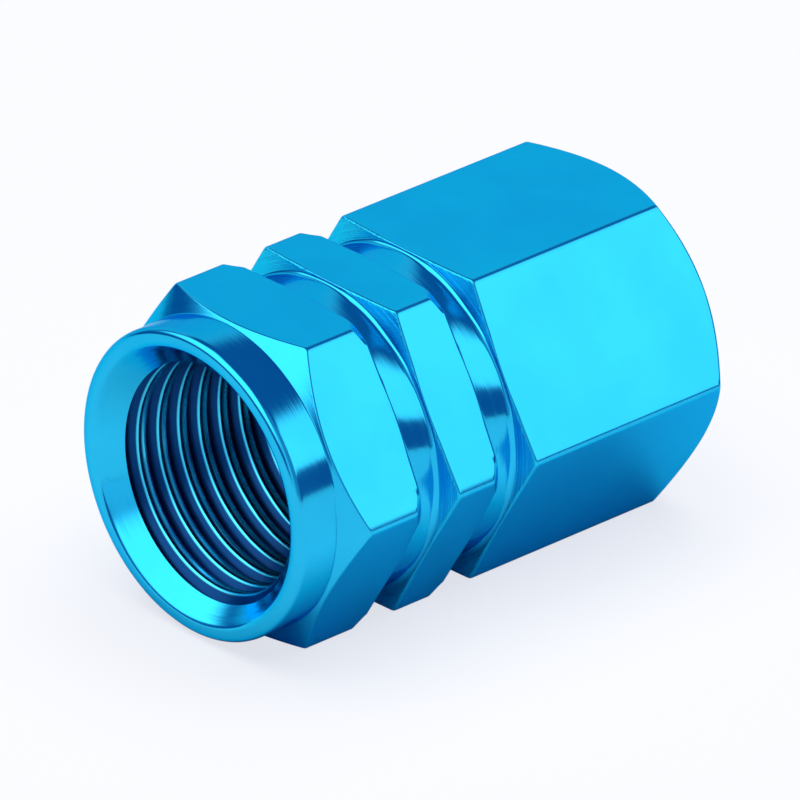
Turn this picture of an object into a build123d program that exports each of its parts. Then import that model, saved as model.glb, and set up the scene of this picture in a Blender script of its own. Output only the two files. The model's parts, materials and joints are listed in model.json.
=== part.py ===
from build123d import *
import os
from math import cos, radians, tan

# Tyre valve cap, turned and drilled from hexagon bar, lying on one of its flats.
# The origin is under the middle of the cap, on the surface it lies on.
# The axis runs along Y, with the open mouth facing -Y and the closed end facing +Y.
# Sizes are in millimetres. Stations are measured from the mouth along the axis.

# Hexagon bar
across_flats = 9.8
total_length = 16.4
bar_edge_round = 0.2

# Round collar at the mouth, turned just below the flats
collar_step = 0.1
collar_length = 1.42
collar_cone_angle = 33.0
rim_width = 0.48
rim_outer_round = 0.26
rim_inner_round = 0.3

# Front hexagon, groove, narrow hexagon band, groove, measured at the groove floors
front_band_length = 2.78
groove_floor_width = 1.1
middle_band_length = 1.91
groove_step = 0.125
groove_wall_angle = 7.0

# Closed end: a flat disc inside the cone that takes off the hexagon's corners
end_face_step = 0.05
end_cone_angle = 40.0

# Mouth and tapped blind hole, bored to the thread's inner diameter
thread_inner_diameter = 7.06
countersink_angle = 90.0
bore_depth = 10.5
drill_point_angle = 118.0

# Turned edges lightly broken
edge_break = 0.1

# Turned cuts begin this far outside the bar's corners
cut_clearance = 0.7


# Sizes that follow from the ones above
axis_height = across_flats / 2
collar_radius = across_flats / 2 - collar_step
groove_radius = across_flats / 2 - groove_step
end_face_radius = across_flats / 2 - end_face_step
bore_radius = thread_inner_diameter / 2
countersink_radius = collar_radius - rim_width
countersink_depth = (countersink_radius - bore_radius) / tan(radians(countersink_angle / 2))
drill_point_depth = bore_radius / tan(radians(drill_point_angle / 2))
clear_radius = across_flats / 2 / cos(radians(30)) + cut_clearance

mouth_plane = Plane(
    origin=(0, -total_length / 2, axis_height), x_dir=(1, 0, 0), z_dir=(0, -1, 0)
)
half_section_plane = Plane(
    origin=mouth_plane.origin, x_dir=(0, 1, 0), z_dir=(1, 0, 0)
)
cap_axis = Axis(mouth_plane.origin, (0, 1, 0))


def cone_run(foot_radius, angle):
    """Length along the axis of a cone that climbs from its foot to clear of the bar."""
    return (clear_radius - foot_radius) * tan(radians(angle))


# Half section of what the lathe leaves, as (station, radius), from the mouth to the closed end
collar_run = cone_run(collar_radius, collar_cone_angle)
turned_outline = [
    (0, 0),
    (0, collar_radius),
    (collar_length, collar_radius),
    (collar_length + collar_run, clear_radius),
]
wall_run = cone_run(groove_radius, groove_wall_angle)
station = collar_length
for band_length in (front_band_length, middle_band_length):
    groove_start = station + band_length
    groove_end = groove_start + groove_floor_width
    turned_outline += [
        (groove_start - wall_run, clear_radius),
        (groove_start, groove_radius),
        (groove_end, groove_radius),
        (groove_end + wall_run, clear_radius),
    ]
    station = groove_end
turned_outline += [
    (total_length - cone_run(end_face_radius, end_cone_angle), clear_radius),
    (total_length, end_face_radius),
    (total_length, 0),
]

bore_outline = [
    (0, 0),
    (0, countersink_radius),
    (countersink_depth, bore_radius),
    (bore_depth, bore_radius),
    (bore_depth + drill_point_depth, 0),
]

with BuildPart() as cap_body:
    # The bar, with its long edges slightly rounded
    with BuildSketch(mouth_plane):
        bar = RegularPolygon(across_flats / 2, 6, major_radius=False)
        fillet(bar.vertices(), radius=bar_edge_round)
    extrude(amount=-total_length)

    # Turning: collar, cones, grooves and closed end in one half section
    with BuildSketch(half_section_plane):
        with BuildLine():
            Polyline(turned_outline, close=True)
        make_face()
    revolve(axis=cap_axis, mode=Mode.INTERSECT)

    # The cones leave curved edges on the flats, and free curves on the bar's rounded edges
    curved_edges = cap_body.edges().filter_by(
        lambda edge: edge.geom_type not in (GeomType.LINE, GeomType.CIRCLE)
    )
    fillet(curved_edges, radius=edge_break)
    fillet(cap_body.edges().group_by(Axis.Y)[-1], radius=edge_break)

    # Countersink, tapping hole and drill point
    with BuildSketch(half_section_plane):
        with BuildLine():
            Polyline(bore_outline, close=True)
        make_face()
    revolve(axis=cap_axis, mode=Mode.SUBTRACT)

    # The lip round the mouth is crowned: its outer edge first, then its inner one
    fillet(cap_body.edges().group_by(Axis.Y)[0].sort_by(SortBy.RADIUS)[-1], radius=rim_outer_round)
    fillet(cap_body.edges().group_by(Axis.Y)[0].sort_by(SortBy.RADIUS)[0], radius=rim_inner_round)

cap_body.part.label = "cap_body"
os.makedirs("parts", exist_ok=True)
export_step(cap_body.part, "parts/cap_body.step")
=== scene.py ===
import json
from math import cos, pi, radians, sin, tan

import bpy
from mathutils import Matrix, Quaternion, Vector


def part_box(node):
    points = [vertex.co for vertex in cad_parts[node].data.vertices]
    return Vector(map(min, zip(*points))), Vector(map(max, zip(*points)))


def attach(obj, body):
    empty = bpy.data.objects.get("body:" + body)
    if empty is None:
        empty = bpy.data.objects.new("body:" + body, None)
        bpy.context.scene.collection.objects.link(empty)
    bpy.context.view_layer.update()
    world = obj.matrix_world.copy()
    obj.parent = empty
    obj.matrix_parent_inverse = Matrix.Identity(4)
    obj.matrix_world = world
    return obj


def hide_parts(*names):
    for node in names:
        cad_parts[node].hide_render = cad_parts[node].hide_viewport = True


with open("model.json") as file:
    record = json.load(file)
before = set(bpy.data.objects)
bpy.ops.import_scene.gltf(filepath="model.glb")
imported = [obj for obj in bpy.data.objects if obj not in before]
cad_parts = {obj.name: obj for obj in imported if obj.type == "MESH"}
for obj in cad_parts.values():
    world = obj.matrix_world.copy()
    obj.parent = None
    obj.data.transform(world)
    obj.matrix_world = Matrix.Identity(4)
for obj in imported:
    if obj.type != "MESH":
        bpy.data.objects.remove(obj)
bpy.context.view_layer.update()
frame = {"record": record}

mm = 0.001


# One wire is one output of a node. Sums on wires add Math nodes to the wire's sheet.
class Wire:
    def __init__(self, sheet, socket):
        self.sheet = sheet
        self.socket = socket

    def calc(self, operation, *others):
        return self.sheet.add("ShaderNodeMath", {"operation": operation}, [self, *others])

    def take(self, name):
        return Wire(self.sheet, self.socket.node.outputs[name])

    def __add__(self, other):
        return self.calc("ADD", other)

    def __radd__(self, other):
        return self.calc("ADD", other)

    def __sub__(self, other):
        return self.calc("SUBTRACT", other)

    def __rsub__(self, other):
        return self.sheet.add("ShaderNodeMath", {"operation": "SUBTRACT"}, [other, self])

    def __mul__(self, other):
        return self.calc("MULTIPLY", other)

    def __rmul__(self, other):
        return self.calc("MULTIPLY", other)

    def __truediv__(self, other):
        return self.calc("DIVIDE", other)

    def __gt__(self, other):
        return self.calc("GREATER_THAN", other)

    def __lt__(self, other):
        return self.calc("LESS_THAN", other)

    def clamped(self, low=0.0, high=1.0):
        return self.calc("MAXIMUM", low).calc("MINIMUM", high)

    # 0 up to an edge, then rising to 1 over a width
    def past(self, edge, width):
        return ((self - edge) / width).clamped()

    # 1 up to an edge less a width, then falling to 0
    def before(self, edge, width):
        return ((edge - self) / width).clamped()

    # Eases from 0 at one value to 1 at the other
    def ramp(self, fromValue, toValue):
        return self.sheet.add(
            "ShaderNodeMapRange", {"interpolation_type": "SMOOTHSTEP"}, [self, fromValue, toValue]
        )

    def floored(self):
        return self.calc("FLOOR")

    def sine(self):
        return self.calc("SINE")

    def cosine(self):
        return self.calc("COSINE")

    def tangent(self):
        return self.calc("TANGENT")

    def root(self):
        return self.calc("MAXIMUM", 0.0).calc("SQRT")


# A sheet is a node tree being drawn, for a shape, a material or the studio.
class Sheet:
    def __init__(self, tree):
        self.tree = tree

    # Settings go first, then the values or wires of the inputs, by place or by name.
    def add(self, kind, settings=None, inputs=()):
        node = self.tree.nodes.new(kind)
        for name, value in (settings or {}).items():
            setattr(node, name, value)
        pairs = inputs.items() if isinstance(inputs, dict) else enumerate(inputs)
        for key, value in pairs:
            if isinstance(value, Wire):
                self.tree.links.new(value.socket, node.inputs[key])
            else:
                node.inputs[key].default_value = value
        return Wire(self, node.outputs[0]) if node.outputs else node

    def point(self, x, y, z):
        return self.add("ShaderNodeCombineXYZ", None, [x, y, z])


# The cap, in millimetres and degrees. The overall size and the bore come from the frame.
capLow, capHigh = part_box("cap_body")
boreMount = next(m for m in frame["record"]["mounts"] if m["name"] == "valve_thread")
capSizes = {
    "acrossFlats": (capHigh[2] - capLow[2]) / mm,
    "totalLength": (capHigh[1] - capLow[1]) / mm,
    "barEdgeRound": 0.2,
    "collarStep": 0.1,         # collar's radius is this far inside the flats
    "collarLength": 1.42,
    "collarConeAngle": 33.0,
    "rimWidth": 0.48,
    "rimOuterRound": 0.26,
    "rimInnerRound": 0.3,
    "frontBandLength": 2.78,
    "grooveFloorWidth": 1.1,
    "middleBandLength": 1.91,
    "grooveStep": 0.125,
    "grooveWallAngle": 7.0,
    "endFaceStep": 0.05,
    "endConeAngle": 40.0,
    "edgeRound": 0.1,          # turned outside edges
    "cornerTrim": 0.27,        # taken off the bar's corners behind each band
    "footRound": 0.2,          # inside corners of the grooves
    "collarFootRound": 0.06,
    "boreRadius": boreMount["dims"]["r_mm"],
    "countersinkAngle": 45.0,
    "boreDepth": 10.5,
    "drillPointAngle": 59.0,
    "threadPitch": 0.794,
    "threadDepth": 0.43,
    "threadCrest": 0.28,       # from lip to lip of a crest
    "threadCrease": 0.11,
    "threadFlank": 30.0,
    "threadRound": 0.06,
    "threadFirst": -0.031,     # station of the first crest on the +X side, just outside the mouth
    "threadEnd": 9.4,
    "threadRunOut": 1.2,       # the thread grows shallow over this length before its end
}
capMesh = {
    "flatColumns": 38,         # columns across each flat
    "cornerColumns": 6,        # columns round each long edge
    "cornerCount": 25,         # corners of one meridian, as listed in the tree
    "edgeSteps": 5,            # points added for each rounded edge
    "threadSteps": 2,          # points added for each rounded corner of the thread
    "threadTurns": 14,
    "entryTurns": 3,           # turns that the countersink can cut
    "guardGap": 0.1,           # rings this far inside a band's edges keep its flats flat
    "trimEase": 1.2,           # room for the round of the trimmed corner, as a share of that round
    "joinStation": 0.16,       # ring where the outside meets the thread
    "threadStop": 9.6,         # ring where the thread meets the drilled end
    "mergeDistance": 0.00005,
    "sharpAngle": 35.0,
}


def drawCapTree(metal):
    tree = bpy.data.node_groups.new("valveCapShape", "GeometryNodeTree")
    tree.interface.new_socket("Geometry", in_out="INPUT", socket_type="NodeSocketGeometry")
    tree.interface.new_socket("Geometry", in_out="OUTPUT", socket_type="NodeSocketGeometry")
    for name in capSizes:
        tree.interface.new_socket(name, in_out="INPUT", socket_type="NodeSocketFloat")
    sheet = Sheet(tree)
    given = sheet.add("NodeGroupInput")
    size = {name: given.take(name) for name in capSizes}
    index = sheet.add("GeometryNodeInputIndex")
    position = sheet.add("GeometryNodeInputPosition")

    halfFlats = size["acrossFlats"] / 2
    collarRadius = halfFlats - size["collarStep"]
    grooveRadius = halfFlats - size["grooveStep"]
    endRadius = halfFlats - size["endFaceStep"]
    coneSlope = (size["collarConeAngle"] * radians(1)).tangent()
    wallSlope = (size["grooveWallAngle"] * radians(1)).tangent()
    endSlope = (size["endConeAngle"] * radians(1)).tangent()
    mouthRadius = collarRadius - size["rimWidth"]
    mouthSlope = (size["countersinkAngle"] * radians(1)).tangent()

    # The hexagon bar: where each column stands round the axis, and how far out the bar reaches there.
    # A small amount is added before a division is floored, so that a whole number isn't taken one down.
    cornerTurn = radians(60)
    perSide = capMesh["flatColumns"] + capMesh["cornerColumns"]
    columns = 6 * perSide
    arcCentre = (halfFlats - size["barEdgeRound"]) / cos(radians(30))
    arcTurn = (size["barEdgeRound"] * sin(radians(30))).calc(
        "ARCTAN2", arcCentre + size["barEdgeRound"] * cos(radians(30))
    )

    def columnTurn(column):
        side = ((column + 0.01) / perSide).floored()
        step = column - side * perSide
        inArc = step.calc("MINIMUM", capMesh["cornerColumns"])
        pastArc = (step - capMesh["cornerColumns"]).calc("MAXIMUM", 0.0)
        offset = (
            inArc * (arcTurn * (2 / capMesh["cornerColumns"]))
            + pastArc * ((cornerTurn - 2 * arcTurn) / capMesh["flatColumns"])
            - arcTurn
        )
        return side * cornerTurn + offset, offset

    def barRadius(offset):
        fromCorner = (radians(30) - (offset - radians(30)).calc("ABSOLUTE")).calc("ABSOLUTE")
        flat = halfFlats / (radians(30) - fromCorner).cosine()
        across = arcCentre * fromCorner.sine()
        rounded = arcCentre * fromCorner.cosine() + (
            size["barEdgeRound"] * size["barEdgeRound"] - across * across
        ).root()
        isFlat = fromCorner > arcTurn
        return rounded + (flat - rounded) * isFlat

    def placed(turn, station, radius):
        return sheet.point(
            radius * turn.cosine(), station - size["totalLength"] / 2, halfFlats + radius * turn.sine()
        )

    def pick(row, choices):
        node = tree.nodes.new("GeometryNodeIndexSwitch")
        node.data_type = "FLOAT"
        while len(node.index_switch_items) < len(choices):
            node.index_switch_items.new()
        tree.links.new(row.socket, node.inputs["Index"])
        for socket, choice in zip(node.inputs[1:], choices):
            if isinstance(choice, Wire):
                tree.links.new(choice.socket, socket)
            else:
                socket.default_value = choice
        return Wire(sheet, node.outputs[0])

    def columnAndRow(rows):
        column = ((index + 0.5) / rows).floored()
        return column, index - column * rows

    # One meridian of the outside, from the middle of the closed end to inside the mouth.
    # Each corner is its station, its radius and how much it is rounded.
    column, row = columnAndRow(capMesh["cornerCount"])
    turn, offset = columnTurn(column)
    bar = barRadius(offset)
    grooves = []
    station = size["collarLength"]
    for band in ("frontBandLength", "middleBandLength"):
        start = station + size[band]
        end = start + size["grooveFloorWidth"]
        grooves.append((start, end))
        station = end
    coneTop = size["totalLength"] - (bar - endRadius) * endSlope
    corners = [
        (size["totalLength"], 0.0, 0.0),
        (size["totalLength"], endRadius * 0.5, 0.0),
        (size["totalLength"], endRadius, size["edgeRound"]),
        (coneTop, bar, size["edgeRound"]),
        (coneTop - capMesh["guardGap"], bar, 0.0),
    ]
    trimRadius = (halfFlats / cos(radians(30)) - size["cornerTrim"]).calc("MINIMUM", bar)
    trimRun = bar - trimRadius + size["edgeRound"] * capMesh["trimEase"]
    for start, end in reversed(grooves):
        farTop = end + (bar - grooveRadius) * wallSlope
        wallTop = start - (trimRadius - grooveRadius) * wallSlope
        corners += [
            (farTop + capMesh["guardGap"], bar, 0.0),
            (farTop, bar, size["edgeRound"]),
            (end, grooveRadius, size["footRound"]),
            (start, grooveRadius, size["footRound"]),
            (wallTop, trimRadius, size["edgeRound"]),
            (wallTop - trimRun, bar, size["edgeRound"]),
            (wallTop - trimRun - capMesh["guardGap"], bar, 0.0),
        ]
    joinRadius = mouthRadius - capMesh["joinStation"] * mouthSlope
    coneTop = size["collarLength"] + (bar - collarRadius) * coneSlope
    corners += [
        (coneTop + capMesh["guardGap"], bar, 0.0),
        (coneTop, bar, size["edgeRound"]),
        (size["collarLength"], collarRadius, size["collarFootRound"]),
        (0.0, collarRadius, size["rimOuterRound"]),
        (0.0, mouthRadius, size["rimInnerRound"]),
        (capMesh["joinStation"], joinRadius, 0.0),
    ]
    points = sheet.add("GeometryNodePoints", None, {"Count": (columns + 1) * capMesh["cornerCount"]})
    stations, radii, rounds = zip(*corners)
    points = sheet.add("GeometryNodeSetPosition", None, {
        "Geometry": points, "Position": placed(turn, pick(row, stations), pick(row, radii)),
    })
    meridians = sheet.add("GeometryNodePointsToCurves", None, {
        "Points": points, "Curve Group ID": column, "Weight": row,
    })
    meridians = sheet.add("GeometryNodeFilletCurve", {"mode": "POLY"}, {
        "Curve": meridians, "Count": capMesh["edgeSteps"], "Radius": pick(row, rounds),
        "Limit Radius": True,
    })
    pointCount = sheet.add("GeometryNodeAttributeDomainSize", {"component": "CURVE"}, [meridians])
    outsideRows = pointCount / (columns + 1)

    def skin(rows, place):
        grid = sheet.add("GeometryNodeMeshGrid", None, {"Vertices X": columns + 1, "Vertices Y": rows})
        return sheet.add("GeometryNodeSetPosition", None, {"Geometry": grid, "Position": place})

    def sampled(source, at):
        return sheet.add("GeometryNodeSampleIndex", {"data_type": "FLOAT_VECTOR", "domain": "POINT"}, {
            "Geometry": source, "Value": position, "Index": at,
        })

    outside = skin(outsideRows, sampled(meridians, index))

    # One turn of the thread in section, as distance along the axis and radius. The tap forms it by
    # pressing, so each crest has two lips with a crease between them.
    flankRun = size["threadDepth"] * (size["threadFlank"] * radians(1)).tangent()
    rootRadius = size["boreRadius"] + size["threadDepth"]
    rootEnd = size["threadPitch"] - flankRun
    section = [
        (flankRun * -1, rootRadius, 0.0),
        (0.0, size["boreRadius"], size["threadRound"]),
        (size["threadCrest"] / 2, size["boreRadius"] + size["threadCrease"], size["threadRound"]),
        (size["threadCrest"], size["boreRadius"], size["threadRound"]),
        (size["threadCrest"] + flankRun, rootRadius, size["threadRound"]),
        (rootEnd, rootRadius, size["threadRound"]),
        (size["threadPitch"], size["boreRadius"], 0.0),
    ]
    alongs, outs, sectionRounds = zip(*section)
    sectionPoints = sheet.add("GeometryNodePoints", None, {"Count": len(section)})
    sectionPoints = sheet.add("GeometryNodeSetPosition", None, {
        "Geometry": sectionPoints,
        "Position": sheet.point(pick(index, alongs), pick(index, outs), 0.0),
    })
    sectionCurve = sheet.add("GeometryNodePointsToCurves", None, {
        "Points": sectionPoints, "Curve Group ID": 0, "Weight": index,
    })
    sectionCurve = sheet.add("GeometryNodeFilletCurve", {"mode": "POLY"}, {
        "Curve": sectionCurve, "Count": capMesh["threadSteps"], "Radius": pick(index, sectionRounds),
        "Limit Radius": True,
    })
    perTurn = sheet.add("GeometryNodeAttributeDomainSize", {"component": "CURVE"}, [sectionCurve]) - 2

    def coneRadius(station):
        return mouthRadius - station * mouthSlope

    # A row of the thread keeps its place in the section and moves one pitch along in one turn.
    def threadPoint(place, turn):
        whole = ((place + 0.5) / perTurn).floored()
        spot = sampled(sectionCurve, place - whole * perTurn + 1)
        parts = sheet.add("ShaderNodeSeparateXYZ", None, [spot])
        station = (
            size["threadFirst"] + parts.take("X") + (whole - turn / (2 * pi)) * size["threadPitch"]
        ).clamped(capMesh["joinStation"], capMesh["threadStop"])
        runOut = ((size["threadEnd"] - station) / size["threadRunOut"]).clamped()
        radius = size["boreRadius"] + (parts.take("Y") - size["boreRadius"]) * runOut
        return station, radius

    def threadSkin(firstTurn, turns, crossed):
        rowsPerPlace = 2 if crossed else 1
        rows = perTurn * (turns * rowsPerPlace) + 1
        column, row = columnAndRow(rows)
        turn, _ = columnTurn(column)
        whole = (row / rowsPerPlace + 0.25).floored()
        place = whole + perTurn * firstTurn
        station, radius = threadPoint(place, turn)
        if crossed:
            # Every second row lies where the countersink cuts the run to the next place.
            nextStation, nextRadius = threadPoint(place + 1, turn)
            here = radius - coneRadius(station)
            there = nextRadius - coneRadius(nextStation)
            share = (here / (here - there)).clamped() * (row - whole * 2)
            station = station + (nextStation - station) * share
            radius = (radius + (nextRadius - radius) * share).calc("MAXIMUM", coneRadius(station))
        return skin(rows, placed(turn, station, radius))

    entry = threadSkin(0, capMesh["entryTurns"], True)
    thread = threadSkin(capMesh["entryTurns"], capMesh["threadTurns"] - capMesh["entryTurns"], False)

    # Plain bore past the thread, and the drill's point.
    pointDepth = size["boreRadius"] / (size["drillPointAngle"] * radians(1)).tangent()
    drilledStations = [capMesh["threadStop"], size["boreDepth"], size["boreDepth"] + pointDepth]
    drilledRadii = [size["boreRadius"], size["boreRadius"], 0.0]
    column, row = columnAndRow(len(drilledRadii))
    turn, _ = columnTurn(column)
    drilled = skin(len(drilledRadii), placed(turn, pick(row, drilledStations), pick(row, drilledRadii)))

    joined = tree.nodes.new("GeometryNodeJoinGeometry")
    for part in (outside, entry, thread, drilled):
        tree.links.new(part.socket, joined.inputs[0])
    merged = sheet.add("GeometryNodeMergeByDistance", None, {
        "Geometry": Wire(sheet, joined.outputs[0]), "Distance": capMesh["mergeDistance"],
    })
    edgeAngle = sheet.add("GeometryNodeInputMeshEdgeAngle")
    smooth = sheet.add("GeometryNodeSetShadeSmooth", {"domain": "FACE"}, {"Geometry": merged})
    creased = sheet.add("GeometryNodeSetShadeSmooth", {"domain": "EDGE"}, {
        "Geometry": smooth, "Shade Smooth": edgeAngle < radians(capMesh["sharpAngle"]),
    })
    inMetres = sheet.add("GeometryNodeTransform", None, {"Geometry": creased, "Scale": (mm, mm, mm)})
    real = sheet.add("GeometryNodeRealizeInstances", None, {"Geometry": inMetres})
    finished = sheet.add("GeometryNodeSetMaterial", None, {"Geometry": real, "Material": metal})
    sheet.add("NodeGroupOutput", None, [finished])
    return tree


def makeCap(metal):
    tree = drawCapTree(metal)
    maker = bpy.data.objects.new("capMaker", bpy.data.meshes.new("capMaker"))
    bpy.context.scene.collection.objects.link(maker)
    shaping = maker.modifiers.new("shape", "NODES")
    shaping.node_group = tree
    for item in tree.interface.items_tree:
        if item.item_type == "SOCKET" and item.in_out == "INPUT" and item.name in capSizes:
            shaping[item.identifier] = capSizes[item.name]
    evening = maker.modifiers.new("normals", "WEIGHTED_NORMAL")
    evening.keep_sharp = True
    depsgraph = bpy.context.evaluated_depsgraph_get()
    mesh = bpy.data.meshes.new_from_object(maker.evaluated_get(depsgraph), depsgraph=depsgraph)
    bpy.data.objects.remove(maker)
    mesh.name = "valveCap"
    cap = bpy.data.objects.new("valveCap", mesh)
    bpy.context.scene.collection.objects.link(cap)
    print("cap shaped:", len(mesh.vertices), "points")
    return cap


# Blue dyed and polished aluminium, with the lathe's rings on what was turned
metalLook = {
    "dyeDeep": (0.017, 0.470, 0.830, 1.0),
    "dyePale": (0.022, 0.530, 0.880, 1.0),
    "grazingTint": (0.25, 0.60, 0.90, 1.0),
    "tintSize": 0.25,          # patches of deep and pale dye per millimetre
    "tintRoughness": 0.55,
    "tintLow": 0.35,           # the dye is deep below this value of the noise
    "tintWidth": 0.333,
    "roughness": 0.09,
    "roughnessSpread": 0.16,   # how far the rings vary the turned surfaces' roughness
    "turnedRoughness": 0.12,
    "ringsPerMm": 7.0,
    "ringRoughness": 0.75,
    "ringStrength": 0.9,
    "ringDepth": 0.0035,       # millimetres
    "wallRingDepth": 0.03,
    "noiseDetail": 4.0,
    "wallDye": (0.012, 0.540, 0.870, 1.0),
    "wallRoughness": 0.22,     # side walls of the grooves, cut with a blunter tool
    "barEdgeRoughness": 0.24,  # long edges of the bar, dulled by handling
    # painted shade: the whole bore is coloured dark for the shade inside it
    "boreDye": (0.002, 0.040, 0.160, 1.0),
    "boreRoughness": 0.26,
    "crestDye": (0.050, 0.600, 0.900, 1.0),    # painted highlight: a lighter colour on the lips of the thread's crests
    "crestRoughness": 0.14,
    "coatWeight": 0.04,
    "coatRoughness": 0.05,
}

# Where each finish begins and ends, in millimetres. A fade is the width of its border.
finishZones = {
    "skin": 0.01,              # this far under the flats all is turned
    "skinFade": 0.02,
    "wallReach": 0.2,          # side walls, from the edge of the groove's floor
    "wallFoot": 0.02,          # and from this far under the flats outwards
    "wallFade": 0.05,
    "barEdgeReach": 0.032,     # long edges, inwards from their highest line
    "barEdgeFade": 0.00833,
    "boreReach": 0.1,          # past the thread's roots
    "boreFade": 0.05,
    "mouthGap": 0.02,          # behind the countersink
    "mouthFade": 0.0333,
    "boreStop": 2.0,           # from the closed end
    "boreStopFade": 0.25,
    "lipHeight": 0.095,        # lips with the painted highlight, outwards from the bore's radius
    "lipFade": 0.04,
    "lipStopFade": 0.5,        # before the thread's end
}


# The Mix node has its colour sockets at places 6 and 7 and its colour output at 2
def mixed(sheet, factor, first, second):
    return sheet.add("ShaderNodeMix", {"data_type": "RGBA"}, {0: factor, 6: first, 7: second}).take(2)


def makeMetal():
    material = bpy.data.materials.new("blueAnodised")
    material.use_nodes = True
    material.node_tree.nodes.clear()
    sheet = Sheet(material.node_tree)
    objectPoint = sheet.add("ShaderNodeTexCoord").take("Object")
    parts = sheet.add("ShaderNodeSeparateXYZ", None, [objectPoint])
    across = parts.take("X") / mm
    along = parts.take("Y") / mm + capSizes["totalLength"] / 2
    up = parts.take("Z") / mm - capSizes["acrossFlats"] / 2
    radius = (across * across + up * up).root()
    halfFlats = capSizes["acrossFlats"] / 2
    zones = finishZones

    # Flats keep the bar's drawn and polished face, all else was turned
    halfUp = up * 0.5
    slanted = across * cos(radians(30))
    nearestFlat = up.calc("ABSOLUTE").calc("MAXIMUM", (halfUp + slanted).calc("ABSOLUTE"))
    nearestFlat = nearestFlat.calc("MAXIMUM", (halfUp - slanted).calc("ABSOLUTE"))
    turned = nearestFlat.before(halfFlats - zones["skin"], zones["skinFade"])

    # Rings: a noise that only changes along the axis and outwards
    ringPoint = sheet.point(along * metalLook["ringsPerMm"], radius * metalLook["ringsPerMm"], 0.0)
    rings = sheet.add("ShaderNodeTexNoise", {"noise_dimensions": "2D"}, {
        "Vector": ringPoint, "Scale": 1.0,
        "Detail": metalLook["noiseDetail"], "Roughness": metalLook["ringRoughness"],
    })
    patches = sheet.add("ShaderNodeTexNoise", None, {
        "Vector": objectPoint, "Scale": metalLook["tintSize"] / mm,
        "Detail": metalLook["noiseDetail"], "Roughness": metalLook["tintRoughness"],
    })
    tint = patches.past(metalLook["tintLow"], metalLook["tintWidth"])

    # Side walls of the two grooves, above their floors. The second groove is moved onto the first.
    halfFloor = capSizes["grooveFloorWidth"] / 2
    firstMiddle = capSizes["collarLength"] + capSizes["frontBandLength"] + halfFloor
    nextGroove = capSizes["grooveFloorWidth"] + capSizes["middleBandLength"]
    isSecond = along > firstMiddle + nextGroove / 2
    fromMiddle = (along - firstMiddle - nextGroove * isSecond).calc("ABSOLUTE")
    onWall = fromMiddle.before(halfFloor + zones["wallReach"], zones["wallFade"]) * turned
    onWall = onWall * radius.past(halfFlats - zones["wallFoot"], zones["wallFade"])

    # Rounded long edges of the bar
    cornerRise = 1 / cos(radians(30))
    cornerRadius = halfFlats * cornerRise - capSizes["barEdgeRound"] * (cornerRise - 1)
    onBarEdge = radius.past(cornerRadius - zones["barEdgeReach"], zones["barEdgeFade"])

    # Painted shade: the tapped bore is given a much darker colour, for the shade inside it. It was never
    # polished.
    boreEdge = capSizes["boreRadius"] + capSizes["threadDepth"]
    countersinkSlope = tan(radians(capSizes["countersinkAngle"]))
    mouthRadius = halfFlats - capSizes["collarStep"] - capSizes["rimWidth"]
    pastCountersink = radius + along * countersinkSlope - mouthRadius
    inBore = radius.before(boreEdge + zones["boreReach"], zones["boreFade"])
    inBore = inBore * pastCountersink.past(zones["mouthGap"], zones["mouthFade"])
    inBore = inBore * along.before(capSizes["totalLength"] - zones["boreStop"], zones["boreStopFade"])
    # Painted highlight: the crests' lips get a lighter colour, for the bright lines of light along them
    onLip = radius.before(capSizes["boreRadius"] + zones["lipHeight"], zones["lipFade"]) * inBore
    onLip = onLip * along.before(capSizes["threadEnd"], zones["lipStopFade"])
    boreColour = mixed(sheet, onLip, metalLook["boreDye"], metalLook["crestDye"])
    outsideDye = mixed(sheet, tint, metalLook["dyeDeep"], metalLook["dyePale"])
    outsideDye = mixed(sheet, onWall, outsideDye, metalLook["wallDye"])

    # Each zone moves the roughness away from the polished flats'
    polished = metalLook["roughness"]
    ringed = (rings - 0.5) * metalLook["roughnessSpread"] + metalLook["turnedRoughness"]
    roughness = polished + turned * (ringed - polished)
    roughness = roughness + (metalLook["boreRoughness"] - polished) * inBore
    roughness = roughness + (metalLook["crestRoughness"] - metalLook["boreRoughness"]) * onLip
    roughness = roughness + (metalLook["wallRoughness"] - polished) * onWall
    roughness = roughness + (metalLook["barEdgeRoughness"] - polished) * onBarEdge
    ringDepth = onWall * (metalLook["wallRingDepth"] - metalLook["ringDepth"]) + metalLook["ringDepth"]
    shader = sheet.add("ShaderNodeBsdfPrincipled", None, {
        "Base Color": mixed(sheet, inBore, outsideDye, boreColour),
        "Specular Tint": metalLook["grazingTint"],
        "Metallic": 1.0,
        "Roughness": roughness.clamped(),
        "Coat Weight": metalLook["coatWeight"],
        "Coat Roughness": metalLook["coatRoughness"],
        "Normal": sheet.add("ShaderNodeBump", None, {
            "Strength": turned * metalLook["ringStrength"],
            "Distance": ringDepth * mm,
            "Height": rings,
        }),
    })
    output = material.node_tree.nodes.new("ShaderNodeOutputMaterial")
    material.node_tree.links.new(shader.socket, output.inputs["Surface"])
    return material


# A round sheet of pale paper, in metres, with a painted white glow that only the camera sees
floorLook = {
    "paper": (0.87, 0.875, 0.88, 1.0),
    "paperGrain": (0.90, 0.905, 0.91, 1.0),
    "grainSize": 30.0,         # patches per metre
    "grainDetail": 3.0,
    "roughness": 0.9,
    "shine": 0.1,
    "washedOut": (0.97, 0.982, 1.04, 1.0),
    "washedOutShare": 0.74,    # how far the painted glow thins the shadows
    "reach": 1.2,
    "rings": 8,
    "spokes": 72,
}


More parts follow.
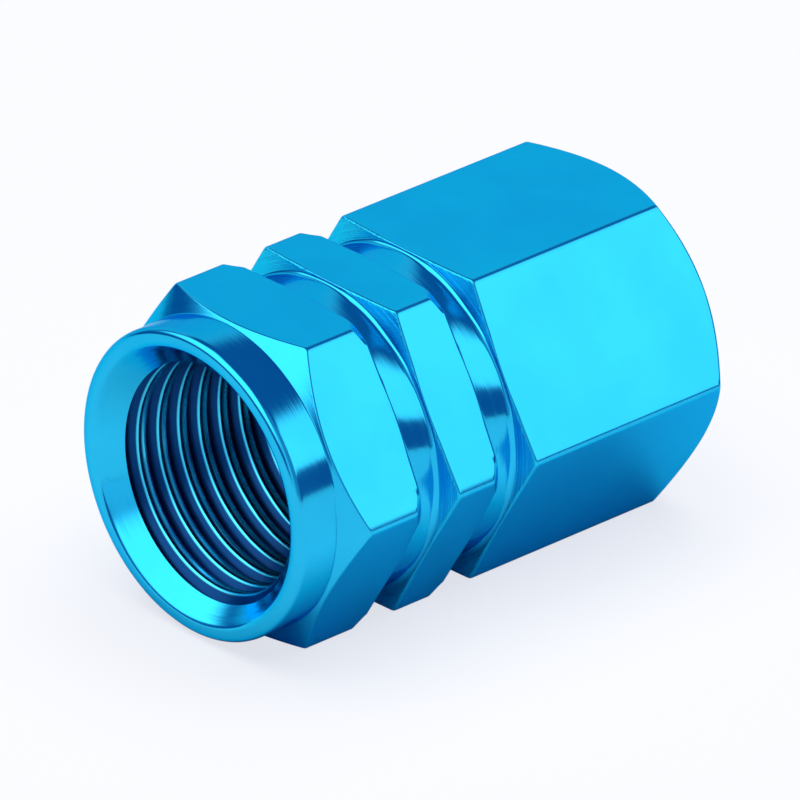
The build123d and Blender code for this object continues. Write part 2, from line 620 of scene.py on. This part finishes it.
def makeFloor():
    material = bpy.data.materials.new("paleFloor")
    material.use_nodes = True
    material.node_tree.nodes.clear()
    sheet = Sheet(material.node_tree)
    grain = sheet.add("ShaderNodeTexNoise", None, {
        "Vector": sheet.add("ShaderNodeTexCoord").take("Object"),
        "Scale": floorLook["grainSize"], "Detail": floorLook["grainDetail"],
    })
    shader = sheet.add("ShaderNodeBsdfPrincipled", None, {
        "Base Color": mixed(sheet, grain, floorLook["paper"], floorLook["paperGrain"]),
        "Roughness": floorLook["roughness"],
        "Specular IOR Level": floorLook["shine"],
    })
    # Painted light: camera rays see the floor mixed with a white glow, which thins its shadows. The
    # metal still mirrors the shaded floor
    glowing = sheet.add("ShaderNodeLightPath").take("Is Camera Ray") * floorLook["washedOutShare"]
    washedOut = sheet.add("ShaderNodeEmission", None, {"Color": floorLook["washedOut"]})
    shader = sheet.add("ShaderNodeMixShader", None, [glowing, shader, washedOut])
    output = material.node_tree.nodes.new("ShaderNodeOutputMaterial")
    material.node_tree.links.new(shader.socket, output.inputs["Surface"])

    # Rings of faces, narrow in the middle and wide far out
    ringCount, spokeCount = floorLook["rings"], floorLook["spokes"]
    points = [(0.0, 0.0, 0.0)]
    faces = []
    for ring in range(1, ringCount + 1):
        size = floorLook["reach"] * (ring / ringCount) ** 2
        for spoke in range(spokeCount):
            turn = 2 * pi * spoke / spokeCount
            points.append((size * cos(turn), size * sin(turn), 0.0))
    for spoke in range(spokeCount):
        beside = (spoke + 1) % spokeCount
        faces.append((0, 1 + spoke, 1 + beside))
        for ring in range(ringCount - 1):
            inner, outer = 1 + ring * spokeCount, 1 + (ring + 1) * spokeCount
            faces.append((inner + spoke, outer + spoke, outer + beside, inner + beside))
    mesh = bpy.data.meshes.new("floor")
    mesh.from_pydata(points, [], faces)
    mesh.materials.append(material)
    floor = bpy.data.objects.new("floor", mesh)
    bpy.context.scene.collection.objects.link(floor)
    return floor


# The studio is painted on the world, as soft patches of light round the cap, each over the ones before
# it. Turns are in degrees from +X towards +Y, heights in degrees above the floor.
studio = {
    "dark": (0.05, 0.15, 0.34),
    "seam": 82,                # turns are counted from here, where no patch lies
    "patches": {
        # from and to round the cap, side feather, from and to in height, lower and upper feather, light
        "backRight": (8, 70, 10, 16, 46, 3, 9, (1.90, 1.55, 1.45)),
        "left": (-165, -64, 16, 13, 34, 6, 6, (0.30, 0.45, 0.60)),
        "nearLeft": (-62, -36, 8, -10, 40, 4, 10, (0.75, 0.88, 0.95)),
        "frontLeft": (-160, -60, 14, 19, 68, 8, 10, (2.5, 2.0, 1.85)),
        "backLeft": (96, 188, 12, -10, 44, 5, 10, (1.0, 0.78, 0.84)),
        "frontRight": (-40, 2, 8, -10, 58, 4, 12, (0.30, 0.40, 0.55)),
    },
    "overheadSize": 0.9,
    "overheadHeight": 0.6,
    "overheadColour": (1.0, 0.985, 0.985),
    "overheadEnergy": 6.7,
}


def makeStudio():
    world = bpy.data.worlds.new("studio")
    bpy.context.scene.world = world
    world.use_nodes = True
    world.cycles_visibility.diffuse = False    # the patches show in the metal, but don't light the floor
    world.node_tree.nodes.clear()
    sheet = Sheet(world.node_tree)
    direction = sheet.add("ShaderNodeTexCoord").take("Generated")
    parts = sheet.add("ShaderNodeSeparateXYZ", None, [direction])
    x, y, z = (parts.take(axis) for axis in "XYZ")
    height = z.calc("ARCSINE") * (180 / pi)
    opposite = radians(studio["seam"] - 180)
    ahead = x * cos(opposite) + y * sin(opposite)
    beside = y * cos(opposite) - x * sin(opposite)
    turn = beside.calc("ARCTAN2", ahead) * (180 / pi) + (studio["seam"] - 180)
    light = sheet.point(*studio["dark"])
    for values in studio["patches"].values():
        fromTurn, toTurn, sideFeather, low, high, lowFeather, highFeather, colour = values
        if fromTurn > studio["seam"]:
            fromTurn, toTurn = fromTurn - 360, toTurn - 360
        reach = (toTurn - fromTurn) / 2
        aside = (turn - (fromTurn + reach)).calc("ABSOLUTE")
        patch = aside.ramp(reach + sideFeather / 2, reach - sideFeather / 2)
        patch = patch * height.ramp(low - lowFeather / 2, low + lowFeather / 2)
        patch = patch * height.ramp(high + highFeather / 2, high - highFeather / 2)
        light = sheet.add("ShaderNodeMix", {"data_type": "VECTOR"}, {
            0: patch, 4: light, 5: colour,
        }).take(1)
    background = sheet.add("ShaderNodeBackground", None, {"Color": light, "Strength": 1.0})
    output = world.node_tree.nodes.new("ShaderNodeOutputWorld")
    world.node_tree.links.new(background.socket, output.inputs["Surface"])

    # One wide light overhead for the floor alone, which the metal doesn't show
    lamp = bpy.data.lights.new("overhead", "AREA")
    lamp.size = studio["overheadSize"]
    lamp.energy = studio["overheadEnergy"]
    lamp.color = studio["overheadColour"]
    overhead = bpy.data.objects.new("overhead", lamp)
    overhead.location = (0.0, 0.0, studio["overheadHeight"])
    overhead.visible_glossy = False
    overhead.visible_camera = False
    bpy.context.scene.collection.objects.link(overhead)


cameraView = {
    "turn": 47.5,              # degrees to the +X side of the mouth's axis
    "height": 27.4,
    "distance": 0.490,
    "lens": 756.0,
    "aim": (0.0, 0.0, 0.0049),
    "roll": 0.37,
}


def makeCamera():
    turn, height = radians(cameraView["turn"]), radians(cameraView["height"])
    back = Vector((sin(turn) * cos(height), -cos(turn) * cos(height), sin(height)))
    lens = bpy.data.cameras.new("camera")
    lens.lens = cameraView["lens"]
    lens.clip_start = 0.01
    camera = bpy.data.objects.new("camera", lens)
    camera.location = Vector(cameraView["aim"]) + back * cameraView["distance"]
    upright = back.to_track_quat("Z", "Y")
    camera.rotation_euler = (upright @ Quaternion((0, 0, 1), radians(cameraView["roll"]))).to_euler()
    bpy.context.scene.collection.objects.link(camera)
    bpy.context.scene.camera = camera


metal = makeMetal()
print("metal done")
cap = makeCap(metal)
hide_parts("cap_body")
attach(cap, "root")
print("cap done")

makeFloor()
makeStudio()
makeCamera()
bpy.context.scene.view_settings.view_transform = "Standard"
print("studio done")
